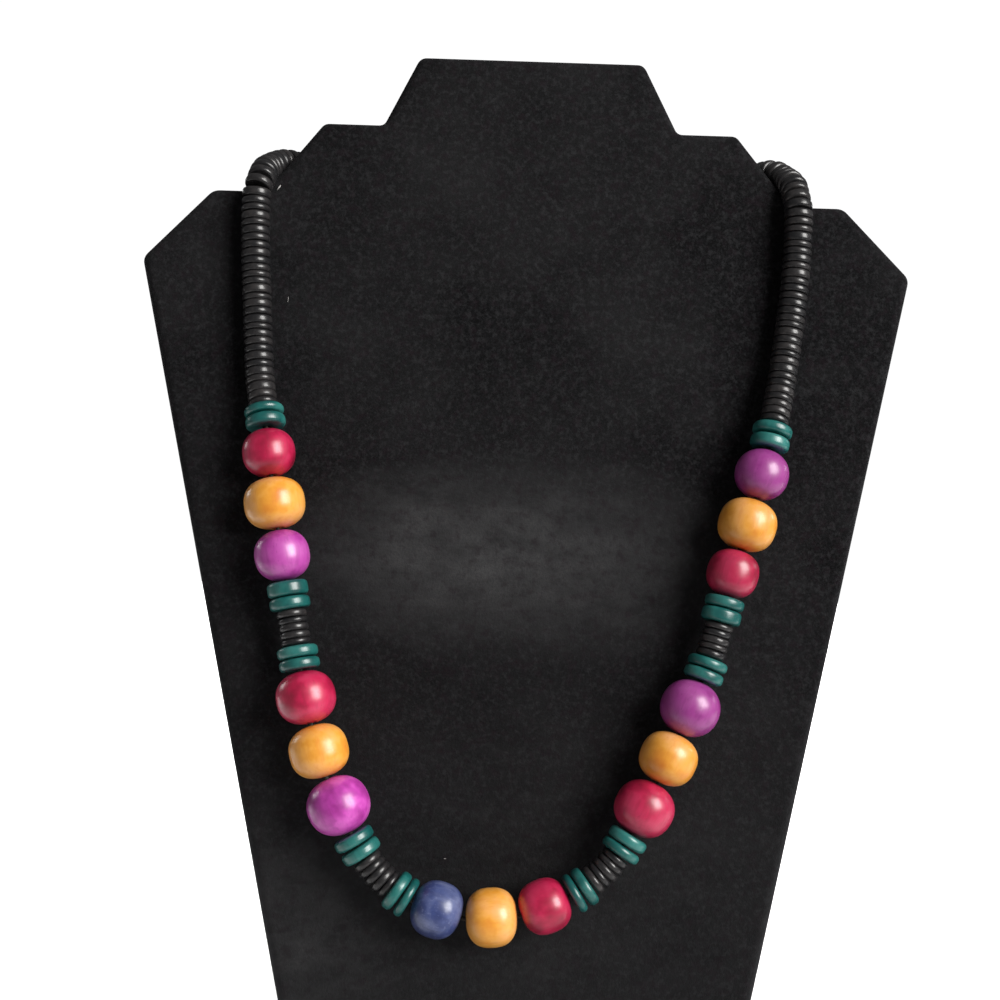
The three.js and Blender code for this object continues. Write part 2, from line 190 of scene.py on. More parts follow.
# Stray fibres on the velvet: their middle across and up the board, length, thickness, heading and
# curl, in mm and degrees.
LINT = [
    {"across": -72.6, "up": 276.3, "length": 1.9, "thick": 0.4, "heading": 55, "curl": 0.1},
    {"across": -68.7, "up": 243.3, "length": 1.6, "thick": 0.13, "heading": 84, "curl": 0.1},
    {"across": -19.9, "up": 87.7, "length": 0.6, "thick": 0.2, "heading": 4, "curl": 0},
]
# Patches of painted light on the velvet, painted sheen where lighter and painted shade where
# darker:
# the middle of each patch across and up the board, its reach each way and how far, in mm, and how
# much lighter, or darker below 0.
PAINTED_LIGHT_PATCHES = [
    {"across": -1, "up": 171, "wide": 66, "tall": 30, "lift": 0.92},
    {"across": -30, "up": 170, "wide": 32, "tall": 24, "lift": 0.35},
    {"across": -66, "up": 60, "wide": 36, "tall": 42, "lift": 0.5},
    {"across": 0, "up": 72, "wide": 105, "tall": 70, "lift": 0.25},
    {"across": 92, "up": 222, "wide": 60, "tall": 80, "lift": -0.16},
]
FIBRE_SIDES = 6
FIBRE_STEPS = 8

random = np.random.RandomState(SEED)

# The board's frame: its front bottom edge lies on the floor at the lowest y of the board's solid.
BOARD_FRAME = Matrix((
    (1, 0, 0, 0),
    (0, math.sin(LEAN), -math.cos(LEAN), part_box("stand_board")[0].y),
    (0, math.cos(LEAN), math.sin(LEAN), 0),
    (0, 0, 0, 1),
))


# ---- The thread's route ----

def route_points(t):
    """Points of the closed centripetal Catmull-Rom curve through ROUTE, at shares of its spans."""
    knots = np.array(ROUTE, float) * MM
    count = len(knots)
    span = np.floor(t * count).astype(int)
    local = (t * count - span)[:, None]
    p0, p1, p2, p3 = (knots[(span + k) % count] for k in (-1, 0, 1, 2))
    d0, d1, d2 = (np.sqrt(np.linalg.norm(b - a, axis=1))[:, None]
                  for a, b in ((p0, p1), (p1, p2), (p2, p3)))
    leave = ((p1 - p0) / d0 - (p2 - p0) / (d0 + d1) + (p2 - p1) / d1) * d1
    arrive = ((p2 - p1) / d1 - (p3 - p1) / (d1 + d2) + (p3 - p2) / d2) * d1
    square = -3 * p1 + 3 * p2 - 2 * leave - arrive
    cube = 2 * p1 - 2 * p2 + leave + arrive
    return p1 + local * (leave + local * (square + local * cube))


ROUTE_T = np.linspace(0, 1, ROUTE_STEPS + 1)
ROUTE_SPANS = np.linalg.norm(np.diff(route_points(ROUTE_T), axis=0), axis=1)
ROUTE_LENGTHS = np.concatenate([[0], np.cumsum(ROUTE_SPANS)])
LOOP = ROUTE_LENGTHS[-1]


def points_at(along):
    """Points at lengths along the thread, which may run past either end of the loop."""
    t = np.interp(np.mod(np.atleast_1d(along), LOOP), ROUTE_LENGTHS, ROUTE_T)
    return route_points(t)


def point_at(along):
    return Vector(points_at(along)[0])


def direction_at(along):
    reach = 0.1 * MM
    return (point_at(along + reach) - point_at(along - reach)).normalized()


def fan_gap(along_a, along_b, face_radius):
    """How far two pieces part at the thread when they touch at the inside of a bend."""
    turn = direction_at(along_a).angle(direction_at(along_b))
    return 2 * face_radius * math.tan(turn / 2)


def place_on_thread(start, end):
    """A piece's place in the board's frame: its Z axis runs from one length to the other."""
    a, b = point_at(start), point_at(end)
    axis = (b - a).normalized()
    side = Vector((0, 0, 1)) if abs(axis.z) < 0.9 else Vector((1, 0, 0))
    x = (side - side.dot(axis) * axis).normalized()
    y = axis.cross(x)
    turn = Matrix((x, y, axis)).transposed().to_4x4()
    return Matrix.Translation((a + b) / 2) @ turn


def black_starts(start, direction, play, count=math.inf, limit=None):
    """Starts of black discs strung from a length, towards +1 or -1 along the thread."""
    pitch = BLACK_THICKNESS + play
    limit = direction * math.inf if limit is None else limit
    starts = []
    edge = start
    while len(starts) < count and (limit - edge) * direction >= BLACK_THICKNESS:
        low = edge if direction > 0 else edge - BLACK_THICKNESS
        starts.append(low)
        middle = low + BLACK_THICKNESS / 2
        edge += direction * (pitch + fan_gap(middle, middle + direction * pitch, BLACK_FACE_RADIUS))
    return starts if direction > 0 else starts[::-1]


def string_front():
    """Beads and discs with their ends along the thread, the short black runs, and where it ends."""
    strung, runs = [], []
    edge = STRING_START
    for row, following in zip(STRING, STRING[1:] + [{}]):
        if row["kind"] == "black":
            runs.append(black_starts(edge, 1, SHORT_RUN_PLAY, count=BLACK_RUN_COUNT))
            edge = runs[-1][-1] + BLACK_THICKNESS + GAP
            continue
        length = row["length"] * MM
        end = edge + length
        strung.append({**row, "start": edge, "end": end})
        both_green = row["kind"] == following.get("kind") == "green"
        face = GREEN_FACE_RADIUS if both_green else BEAD_FACE_RADIUS
        next_length = following["length"] * MM if "length" in following else BLACK_THICKNESS
        edge = end + GAP + fan_gap(end - length / 2, end + next_length / 2, face)
    return strung, runs, edge


def long_runs(front_end):
    """Starts of the long black runs, by the CAD's front, bend and back stretches."""
    clasp_edge = CLASP_LENGTH / 2 + GAP
    sides = {
        "left": black_starts(STRING_START - GAP, -1, LONG_RUN_PLAY, limit=clasp_edge),
        "right": black_starts(front_end, 1, LONG_RUN_PLAY, limit=LOOP - clasp_edge),
    }
    stretches = {}
    for side, starts in sides.items():
        for start in starts:
            across, up, off = point_at(start + BLACK_THICKNESS / 2)
            if off > 0 and up < BEND_FROM_UP:
                stretch = "front"
            elif off < 0 and abs(across) < BACK_WITHIN:
                stretch = "back"
            else:
                stretch = "bend"
            stretches.setdefault(f"{side}_{stretch}", []).append(start)
    return stretches


# ---- Meshes ----

def add_piece(name, points, faces, material, replaces, place=BOARD_FRAME, smooth=True):
    """A mesh object that rides on the part's one body and stands for the CAD nodes given."""
    mesh = bpy.data.meshes.new(name)
    mesh.from_pydata([tuple(p) for p in points], [], [tuple(int(i) for i in f) for f in faces])
    mesh.validate()
    mesh.polygons.foreach_set("use_smooth", [smooth] * len(mesh.polygons))
    mesh.materials.append(material)
    piece = bpy.data.objects.new(name, mesh)
    bpy.context.scene.collection.objects.link(piece)
    piece.matrix_world = place
    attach(piece, "root")
    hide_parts(*replaces)
    return piece


def set_attribute(piece, name, values):
    """A number at each point of a piece, which its material reads."""
    attribute = piece.data.attributes.new(name, "FLOAT", "POINT")
    attribute.data.foreach_set("value", np.asarray(values, np.float32))


def ring_faces(rows, columns, close_rows=False):
    """Quads between rings of points, outwards when rows go up and columns turn anticlockwise."""
    faces = []
    for i in range(rows if close_rows else rows - 1):
        low, high = i * columns, (i + 1) % rows * columns
        for j in range(columns):
            k = (j + 1) % columns
            faces.append((low + j, low + k, high + k, high + j))
    return faces


def lathe(profile, sides):
    """Points and faces of a closed profile of (radius, height) turned about the Z axis."""
    angles = np.linspace(0, 2 * math.pi, sides, endpoint=False)
    points = [(radius * math.cos(a), radius * math.sin(a), height)
              for radius, height in profile for a in angles]
    return np.array(points), ring_faces(len(profile), sides, close_rows=True)


def arc(centre, radius, start, end, steps):
    """Points of an arc in the (radius, height) plane, by angles in degrees."""
    return [(centre[0] + radius * math.cos(a), centre[1] + radius * math.sin(a))
            for a in map(math.radians, np.linspace(start, end, steps + 1))]


def bead_profile(radius, half, square):
    """A round bead's section: a superellipse outside, with a chamfered hole through it."""
    power = 2 / square
    end_angle = math.acos(((HOLE_RADIUS + BEAD_CHAMFER) / radius) ** (1 / power))
    rows = []
    for angle in np.linspace(-end_angle, end_angle, BEAD_ROWS + 1):
        height = math.copysign(abs(math.sin(angle)) ** power, angle) * half
        rows.append((radius * math.cos(angle) ** power, height))
    top = rows[-1][1]
    for height in np.linspace(top - BEAD_CHAMFER, BEAD_CHAMFER - top, BEAD_HOLE_ROWS):
        rows.append((HOLE_RADIUS, height))
    return rows


def disc_profile(radius, half, rounding):
    """A flat disc's section: rounded rims and a hole."""
    rounding = min(rounding, 0.92 * half)
    hole_edge = HOLE_RADIUS + 0.2 * MM
    rim = radius - rounding
    return [
        (HOLE_RADIUS, 0.85 * -half), (hole_edge, -half),
        ((hole_edge + rim) / 2, -half),
        *arc((rim, rounding - half), rounding, -90, 0, 5),
        *arc((rim, half - rounding), rounding, 0, 90, 5),
        ((hole_edge + rim) / 2, half),
        (hole_edge, half), (HOLE_RADIUS, 0.85 * half),
    ]


# ---- Materials ----

def srgb(red, green, blue):
    """A colour given as 0 to 255 in each channel, made linear."""
    def linear(value):
        share = value / 255
        return share / 12.92 if share <= 0.04045 else ((share + 0.055) / 1.055) ** 2.4
    return (linear(red), linear(green), linear(blue), 1)


class Finish:
    """A procedural material: one Principled shader and the nodes that feed it."""

    def __init__(self, name, **settings):
        self.material = bpy.data.materials.new(name)
        self.material.use_nodes = True
        self.tree = self.material.node_tree
        self.shader = self.tree.nodes["Principled BSDF"]
        for socket, value in settings.items():
            self.shader.inputs[socket.replace("_", " ")].default_value = value

    def node(self, kind, inputs=(), **properties):
        """Adds a node; each input is a number or colour, or another node's output."""
        node = self.tree.nodes.new("ShaderNode" + kind)
        for key, value in properties.items():
            setattr(node, key, value)
        for key, value in dict(inputs).items():
            if isinstance(value, bpy.types.NodeSocket):
                self.tree.links.new(value, node.inputs[key])
            else:
                node.inputs[key].default_value = value
        return node

    def coordinates(self, stretch=(1, 1, 1)):
        """The object's own coordinates, in metres, stretched."""
        place = self.node("TexCoord").outputs["Object"]
        return self.node("Mapping", {"Vector": place, "Scale": stretch}).outputs["Vector"]

    def attribute(self, name):
        return self.node("Attribute", attribute_name=name).outputs["Fac"]

    def noise(self, scale, detail=2.0, rough=0.5, vector=None, seed=None):
        """Noise from 0 to 1. Scale is the number of features in a metre."""
        inputs = {"Vector": vector or self.coordinates(), "Scale": scale, "Detail": detail,
                  "Roughness": rough}
        if seed is None:
            return self.node("TexNoise", inputs).outputs["Fac"]
        inputs["W"] = seed
        return self.node("TexNoise", inputs, noise_dimensions="4D").outputs["Fac"]

    def math(self, operation, a, b=0.0):
        return self.node("Math", {0: a, 1: b}, operation=operation).outputs[0]

    def spread(self, value, low, high, to_low=0.0, to_high=1.0):
        """Maps low..high to to_low..to_high, held at the ends."""
        node = self.node("MapRange", {"Value": value, "From Min": low, "From Max": high,
                                      "To Min": to_low, "To Max": to_high})
        return node.outputs["Result"]

    def mix(self, share, a, b):
        node = self.node("Mix", data_type="RGBA")
        for socket, value in (("Factor_Float", share), ("A_Color", a), ("B_Color", b)):
            target = next(s for s in node.inputs if s.identifier == socket)
            if isinstance(value, bpy.types.NodeSocket):
                self.tree.links.new(value, target)
            else:
                target.default_value = value
        return next(s for s in node.outputs if s.identifier == "Result_Color")

    def bump(self, height, distance, strength=1.0):
        node = self.node("Bump", {"Height": height, "Distance": distance, "Strength": strength})
        self.feed("Normal", node.outputs["Normal"])

    def feed(self, socket, value):
        self.tree.links.new(value, self.shader.inputs[socket])


def make_wood(name, deep, main, pale, blotch=0.35, specks=0.0, rough=(0.3, 0.44), coat=0.45):
    """Dyed and waxed turned wood: blotchy dye, grain along the bead's hole, fine pores."""
    finish = Finish(name, Coat_Weight=coat, Coat_Roughness=0.26)
    seed = finish.math("MULTIPLY", finish.attribute("seed"), 40.0)
    cloud = finish.noise(130, 3, 0.55, seed=seed)
    grain = finish.noise(1, 3, 0.6, finish.coordinates((900, 900, 110)), seed)
    pores = finish.noise(1, 1, 0.5, finish.coordinates((2600, 2600, 700)), seed)
    fine = finish.noise(1300, 2, 0.6, seed=seed)

    faded = finish.spread(cloud, 0.45, 0.72)
    colour = finish.mix(finish.spread(cloud, 0.28, 0.5), deep, main)
    colour = finish.mix(finish.math("MULTIPLY", faded, blotch * 2), colour, pale)
    streak = finish.spread(grain, 0.5, 0.72, 0, blotch)
    colour = finish.mix(streak, colour, deep)
    colour = finish.mix(finish.spread(fine, 0.56, 0.7, 0, specks), colour, pale)
    pore = finish.spread(pores, 0.66, 0.78)
    colour = finish.mix(finish.math("MULTIPLY", pore, 0.35), colour, deep)
    # The shade scales the colour. On beads it is partly their own dye and partly painted light,
    # left strand paler and right darker. On green discs it is a random tone.
    shade_scaled_colour = finish.node("VectorMath", {0: colour, "Scale": finish.attribute("shade")},
                       operation="SCALE")
    finish.feed("Base Color", shade_scaled_colour.outputs["Vector"])

    finish.feed("Roughness", finish.spread(grain, 0.3, 0.7, *rough))
    height = finish.math("SUBTRACT", finish.math("MULTIPLY", grain, 0.5), pore)
    finish.bump(finish.math("ADD", height, finish.math("MULTIPLY", cloud, 1.5)), 0.03 * MM, 0.6)
    return finish.material


def make_black_discs():
    """Polished coconut shell: near black, paler on some discs, with fine fibres and scratches."""
    finish = Finish("black_coconut", Coat_Weight=0.15, Coat_Roughness=0.14)
    tone = finish.attribute("tone")
    fibres = finish.noise(1, 3, 0.6, finish.coordinates((700, 700, 700)))
    scratches = finish.noise(2400, 2, 0.7)
    shade = finish.math("ADD", finish.spread(fibres, 0.4, 0.75, 0, 0.6),
                        finish.spread(tone, 0, 1, 0, 0.5))
    colour = finish.mix(finish.spread(shade, 0.15, 1.1), srgb(27, 27, 29), srgb(55, 52, 52))
    finish.feed("Base Color", colour)
    finish.feed("Roughness", finish.spread(scratches, 0.35, 0.7, 0.27, 0.4))
    finish.bump(finish.math("ADD", scratches, fibres), 0.02 * MM, 0.5)
    return finish.material


def make_velvet():
    """Black velvet: soft sheen, faint lighter clouds, painted sheen and shade, a fuzzy surface."""
    finish = Finish("black_velvet", Roughness=1.0, Specular_IOR_Level=0.15,
                    Sheen_Weight=0.03, Sheen_Roughness=0.45, Sheen_Tint=srgb(190, 190, 200))
    places = {axis: finish.attribute(name)
              for axis, name in (("X", "across"), ("Y", "up"), ("Z", "off"))}
    board = finish.node("CombineXYZ", places).outputs["Vector"]
    clouds = finish.noise(24, 4, 0.6, board)
    stretched = finish.node("Mapping", {"Vector": board, "Scale": (75, 135, 75)}).outputs["Vector"]
    strokes = finish.noise(1, 3, 0.65, stretched)
    nap = finish.noise(1500, 3, 0.75)
    tint = finish.noise(420, 2, 0.6)
    mottle = finish.noise(650, 3, 0.7)

    lift = finish.spread(clouds, 0.35, 0.75, 0, 0.2)
    # Painted light: each patch paints a lighter oval as painted sheen, or a darker one as painted
    # shade.
    for patch in PAINTED_LIGHT_PATCHES:
        scale = (1 / (patch["wide"] * MM), 1 / (patch["tall"] * MM))
        oval = finish.node("Mapping", {
            "Vector": board, "Scale": (*scale, 0),
            "Location": (-patch["across"] * MM * scale[0], -patch["up"] * MM * scale[1], 0)})
        reach = finish.node("VectorMath", {0: oval.outputs["Vector"]}, operation="LENGTH")
        edge = finish.math("ADD", reach.outputs["Value"], finish.math("MULTIPLY", clouds, 0.9))
        painted_light_oval = finish.spread(edge, 0.5, 1.5, patch["lift"], 0)
        painted_light_strokes = finish.math("MULTIPLY", painted_light_oval, finish.spread(strokes, 0.25, 0.7, 0.3, 1))
        lift = finish.math("ADD", lift, painted_light_strokes)
    colour = finish.mix(lift, srgb(5, 5, 6), srgb(66, 66, 67))
    colour = finish.mix(finish.spread(nap, 0.42, 0.66, 0, 0.42), colour, srgb(34, 34, 37))
    colour = finish.mix(finish.spread(mottle, 0.48, 0.68, 0, 0.4), colour, srgb(50, 50, 52))
    colour = finish.mix(finish.spread(tint, 0.5, 0.7, 0, 0.4), colour, srgb(26, 16, 22))
    finish.feed("Base Color", colour)
    finish.bump(nap, 0.25 * MM, 0.8)
    return finish.material


def make_card():
    """Black paper over board: fine felted fibres, and a paler fuzz where it is rubbed."""
    finish = Finish("black_card", Specular_IOR_Level=0.3)
    fibres = finish.noise(1, 4, 0.7, finish.coordinates((500, 900, 900)))
    clouds = finish.noise(40, 3, 0.6)
    colour = finish.mix(finish.spread(fibres, 0.35, 0.75), srgb(24, 24, 25), srgb(44, 43, 43))
    colour = finish.mix(finish.spread(clouds, 0.45, 0.8, 0, 0.5), colour, srgb(54, 52, 50))
    finish.feed("Base Color", colour)
    finish.feed("Roughness", finish.spread(clouds, 0.3, 0.7, 0.62, 0.85))
    finish.bump(fibres, 0.08 * MM, 0.6)
    return finish.material


def make_lint():
    """Pale fluff caught on the velvet."""
    finish = Finish("pale_lint", Roughness=0.9, Specular_IOR_Level=0.2)
    fibres = finish.noise(1800, 2, 0.6)
    finish.feed("Base Color", finish.mix(fibres, srgb(120, 118, 118), srgb(205, 203, 200)))
    return finish.material


def make_thread():
    """Waxed black thread with a twisted lay."""
    finish = Finish("waxed_thread", Specular_IOR_Level=0.4)
    fibres = finish.noise(1800, 3, 0.6)
    finish.feed("Base Color", finish.mix(fibres, srgb(22, 20, 18), srgb(60, 54, 48)))
    finish.feed("Roughness", finish.spread(fibres, 0.3, 0.7, 0.5, 0.8))
    finish.bump(fibres, 0.1 * MM, 0.8)
    return finish.material


def make_brass():
    """Plain brass with a round brushing and a slight tarnish."""
    finish = Finish("brass", Metallic=1.0)
    brushing = finish.noise(1, 3, 0.6, finish.coordinates((300, 300, 6000)))
    tarnish = finish.noise(500, 3, 0.6)
    colour = finish.mix(finish.spread(tarnish, 0.45, 0.75), srgb(212, 175, 108), srgb(140, 104, 58))
    finish.feed("Base Color", colour)
    finish.feed("Roughness", finish.spread(brushing, 0.3, 0.7, 0.22, 0.4))
    finish.bump(brushing, 0.01 * MM, 0.5)
    return finish.material


def make_materials():
    return {
        "red": make_wood("red_dyed_wood", srgb(122, 12, 42), srgb(172, 23, 66), srgb(196, 62, 98)),
        "orange": make_wood("orange_dyed_wood", srgb(204, 120, 40), srgb(224, 156, 56),
                            srgb(228, 168, 114), blotch=0.4, coat=0.35),
        "purple": make_wood("purple_dyed_wood", srgb(112, 26, 98), srgb(158, 56, 142),
                            srgb(182, 96, 166)),
        "blue": make_wood("blue_dyed_wood", srgb(34, 42, 84), srgb(56, 68, 116),
                          srgb(104, 112, 146), blotch=0.5, specks=0.5),
        "green": make_wood("green_dyed_wood", srgb(8, 62, 62), srgb(22, 92, 88),
                           srgb(64, 128, 122), rough=(0.28, 0.42)),
        "black": make_black_discs(),
        "velvet": make_velvet(),
        "card": make_card(),
        "lint": make_lint(),
        "thread": make_thread(),
        "brass": make_brass(),
    }


# ---- The stand ----

def outline_ring(inset, off):
    """The board's outline drawn in by an inset, at a place off the front, cut level at the foot."""
    sides = [[(Vector((sign * row["half"] * MM, row["up"] * MM)), row["round"] * MM)
              for row in BOARD_OUTLINE] for sign in (1, -1)]
    corners = sides[0] + sides[1][::-1]
    count = len(corners)
    lines = []
    for i, (corner, _) in enumerate(corners):
        along = (corners[(i + 1) % count][0] - corner).normalized()
        inwards = Vector((-along.y, along.x))
        lines.append((corner + inwards * inset, along))
    lines[-1] = (Vector((0, -off * math.tan(LEAN))), Vector((1, 0)))

    drawn = []
    for i in range(count):
        (p, d), (q, e) = lines[i - 1], lines[i]
        share = (q - p).cross(e) / d.cross(e)
        drawn.append(p + d * share)
    ring = []
    for i, corner in enumerate(drawn):
        if i in (0, count - 1):
            ring.append((corner.x, corner.y, off))
            continue
        enter, leave = lines[i - 1][1], lines[i][1]
        turn = math.atan2(enter.cross(leave), enter.dot(leave))
        reach = max(corners[i][1] - inset * math.tan(turn / 2), SMALLEST_ROUND)
        for t in np.linspace(0, 1, CORNER_STEPS + 1):
            entering = (corner - enter * reach).lerp(corner, t)
            bent = entering.lerp(corner.lerp(corner + leave * reach, t), t)
            ring.append((bent.x, bent.y, off))
    return ring


def make_fibre(middle, length, thick, heading, curl):
    """A stray fibre on the velvet: a thin bent tube about a place across and up the board."""
    along = Vector((math.cos(heading), math.sin(heading), 0))
    aside = Vector((-along.y, along.x, 0))
    rings = []
    for share in np.linspace(-1, 1, FIBRE_STEPS + 1):
        lift = thick / 2 * (1 + 2 * (1 - share ** 2))
        straight = Vector((*middle, lift)) + along * share * length / 2
        centre = straight + aside * curl * (share ** 2 - 0.3)
        radius = thick / 2 * (1 - 0.6 * share ** 4)
        rings += [centre + (aside * math.cos(a) + Vector((0, 0, 1)) * math.sin(a)) * radius
                  for a in np.linspace(0, 2 * math.pi, FIBRE_SIDES, endpoint=False)]
    faces = ring_faces(FIBRE_STEPS + 1, FIBRE_SIDES)
    last = len(rings) - FIBRE_SIDES
    faces += [tuple(range(FIBRE_SIDES - 1, -1, -1)), tuple(range(last, last + FIBRE_SIDES))]
    return rings, faces


def make_board(materials):
    """The board: velvet rolled over its edges and turned in at the back round a paper panel."""
    roll = [(EDGE_ROUND * (1 - math.sin(a)), -EDGE_ROUND * (1 - math.cos(a)))
            for a in np.linspace(0, math.pi / 2, EDGE_STEPS + 1)]
    back = [(inset, -BOARD_THICKNESS - off) for inset, off in reversed(roll)]
    panel_off = BACK_PAPER_RECESS - BOARD_THICKNESS
    sections = [*roll, *back, (VELVET_TURN_IN, -BOARD_THICKNESS),
                (VELVET_TURN_IN + BACK_PAPER_EDGE, panel_off)]
    rings = [outline_ring(inset, off) for inset, off in sections]
    columns = len(rings[0])
    points = [Vector(p) for ring in rings for p in ring]
    faces = [tuple(reversed(f)) for f in ring_faces(len(rings), columns)]
    faces.append(tuple(range(columns)))
    last = (len(rings) - 1) * columns
    faces.append(tuple(range(last + columns - 1, last - 1, -1)))
    velvet_faces = len(faces) - 1
    for fibre in LINT:
        lint_points, lint_faces = make_fibre(
            (fibre["across"] * MM, fibre["up"] * MM), fibre["length"] * MM, fibre["thick"] * MM,
            math.radians(fibre["heading"]), fibre["curl"] * MM)
        faces += [tuple(len(points) + i for i in face) for face in lint_faces]
        points += lint_points

    board = add_piece("board_velvet", [BOARD_FRAME @ p for p in points], faces, materials["velvet"],
                      ["stand_board"], Matrix())
    for i, name in enumerate(("across", "up", "off")):
        set_attribute(board, name, [p[i] for p in points])
    for name in ("card", "lint"):
        board.data.materials.append(materials[name])
    for polygon in board.data.polygons:
        if polygon.index == velvet_faces:
            polygon.material_index = 1
            polygon.use_smooth = False
        elif polygon.index > velvet_faces:
            polygon.material_index = 2


def make_leg(materials):
    """The easel leg: a tab on the board's back, a crease, and a strip that widens to its foot."""
    foot_y = BOARD_FRAME.translation.y
    along_board = Vector((math.sin(LEAN), math.cos(LEAN)))
    off_back = Vector((math.cos(LEAN), -math.sin(LEAN)))
    along_leg = Vector((math.sin(LEG_SPREAD), -math.cos(LEG_SPREAD)))
    off_leg = Vector((math.cos(LEG_SPREAD), math.sin(LEG_SPREAD)))

    def on_board(up, off):
        return Vector((foot_y, 0)) + along_board * up + off_back * off

    def to_table(point):
        return point - along_leg * (point.y / along_leg.y)

    inner = BOARD_THICKNESS + GAP
    outer = inner + LEG_THICKNESS
    crease_inner = on_board(LEG_CREASE_UP, inner)
    half_bend = (LEAN + LEG_SPREAD) / 2
    side = [
        on_board(LEG_CREASE_UP + LEG_TAB_HEIGHT, inner),
        crease_inner,
        to_table(crease_inner),
        to_table(crease_inner + off_leg * LEG_THICKNESS),
        on_board(LEG_CREASE_UP + LEG_THICKNESS * math.tan(half_bend), outer),
        on_board(LEG_CREASE_UP + LEG_TAB_HEIGHT, outer),
    ]
    top = side[0].y
    points = []
    for sign in (-1, 1):
        for point in side:
            share = point.y / top
            width = LEG_FOOT_WIDTH + (LEG_TOP_WIDTH - LEG_FOOT_WIDTH) * share
            points.append((sign * width / 2, point.x, point.y))
    count = len(side)
    faces = [(i, (i + 1) % count, (i + 1) % count + count, i + count) for i in range(count)]
    faces += [tuple(range(count - 1, -1, -1)), tuple(range(count, 2 * count))]
    leg = add_piece("leg_card", points, faces, materials["card"], ["stand_leg"], Matrix(),
                    smooth=False)
    bevel = leg.modifiers.new("edges", "BEVEL")
    bevel.width = LEG_BEVEL
    bevel.segments = 3
    bevel.limit_method = "ANGLE"
    bevel.angle_limit = math.radians(20)


# ---- The necklace ----

def make_bead(name, node, row, materials):
    """A turned wooden bead, very slightly uneven, with its hole along the thread."""
    profile = bead_profile(row["diameter"] / 2 * MM, row["length"] / 2 * MM, row["square"])
    points, faces = lathe(profile, BEAD_SIDES)
    offset = Vector(random.uniform(-50, 50, 3))
    for i, point in enumerate(points):
        swell = noise.noise(Vector(point) * BEAD_SWELLINGS + offset)
        points[i, :2] *= 1 - BEAD_UNEVEN * (0.5 - 0.5 * swell)
    place = BOARD_FRAME @ place_on_thread(row["start"], row["end"])
    turn = Matrix.Rotation(random.uniform(0, 2 * math.pi), 4, "Z")
    bead = add_piece(name, points, faces, materials[row["kind"]], [node],
                     place @ turn)
    set_attribute(bead, "seed", np.full(len(points), random.uniform(0, 1)))
    # The shade is partly the bead's own dye and partly painted light: paler on the left strand,
    # darker on the right.
    set_attribute(bead, "shade", np.full(len(points), row["shade"]))


def make_green_disc(name, node, row, materials):
    """A thick wooden disc with rounded rims."""
    profile = disc_profile(GREEN_RADIUS, row["length"] / 2 * MM, GREEN_ROUND)
    points, faces = lathe(profile, DISC_SIDES)
    points[:, :2] *= random.uniform(GREEN_SMALLEST, 1.0)
    place = BOARD_FRAME @ place_on_thread(row["start"], row["end"])
    disc = add_piece(name, points, faces, materials["green"], [node], place)
    set_attribute(disc, "seed", np.full(len(points), random.uniform(0, 1)))
    set_attribute(disc, "shade", np.full(len(points), random.uniform(*GREEN_SHADES)))


def make_black_run(name, node, starts, play, materials):
    """A run of black discs as one mesh, each disc a little thicker or thinner than the next."""
    thickness = BLACK_THICKNESS + play
    edges = np.append(np.array(starts), starts[-1] + thickness)
    jitter = min(BLACK_LENGTH_JITTER, BLACK_LENGTH_SHARE * thickness + play)
    edges[1:-1] += random.uniform(-jitter, jitter, len(edges) - 2)
    all_points, all_faces, tones = [], [], []
    for start, nominal, following in zip(edges, starts, edges[1:]):
        end = min(following, nominal + thickness + jitter) - BLACK_PARTING
        radius = BLACK_RADIUS * (1 - random.uniform(0, 2 * BLACK_RADIUS_JITTER))
        points, faces = lathe(disc_profile(radius, (end - start) / 2, BLACK_ROUND), BLACK_SIDES)
        tilt = Matrix.Rotation(random.uniform(-BLACK_TILT, BLACK_TILT), 4, "X")
        tilt = Matrix.Rotation(random.uniform(-BLACK_TILT, BLACK_TILT), 4, "Y") @ tilt
        place = np.array(place_on_thread(start, end) @ tilt)
        base = sum(len(p) for p in all_points)
        all_points.append(points @ place[:3, :3].T + place[:3, 3])
        all_faces += [tuple(base + i for i in face) for face in faces]
        tones.append(np.full(len(points), random.uniform(0, 1)))
    run = add_piece(name, np.concatenate(all_points), all_faces, materials["black"],
                    [node])
    set_attribute(run, "tone", np.concatenate(tones))


def make_whole_thread(materials):
    """One thread through the whole loop, from one end of the clasp to the other."""
    reach = CLASP_LENGTH / 2 - CLASP_NECK_LENGTH
    places = np.linspace(reach, LOOP - reach, round(LOOP / THREAD_STEP))
    angles = np.linspace(0, 2 * math.pi, THREAD_SIDES, endpoint=False)
    points = []
    for along in places:
        axis = direction_at(along)
        side = axis.orthogonal().normalized() if along == places[0] else side
        side = (side - side.dot(axis) * axis).normalized()
        other = axis.cross(side)
        middle = point_at(along)
        points += [middle + THREAD_RADIUS * (side * math.cos(a) + other * math.sin(a))
                   for a in angles]
    faces = ring_faces(len(places), THREAD_SIDES)
    last = len(points) - THREAD_SIDES
    faces += [tuple(range(THREAD_SIDES - 1, -1, -1)), tuple(range(last, last + THREAD_SIDES))]
    nodes = [name for name in sorted(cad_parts) if name.startswith("thread_")]
    add_piece("necklace_thread", points, faces, materials["thread"], nodes)


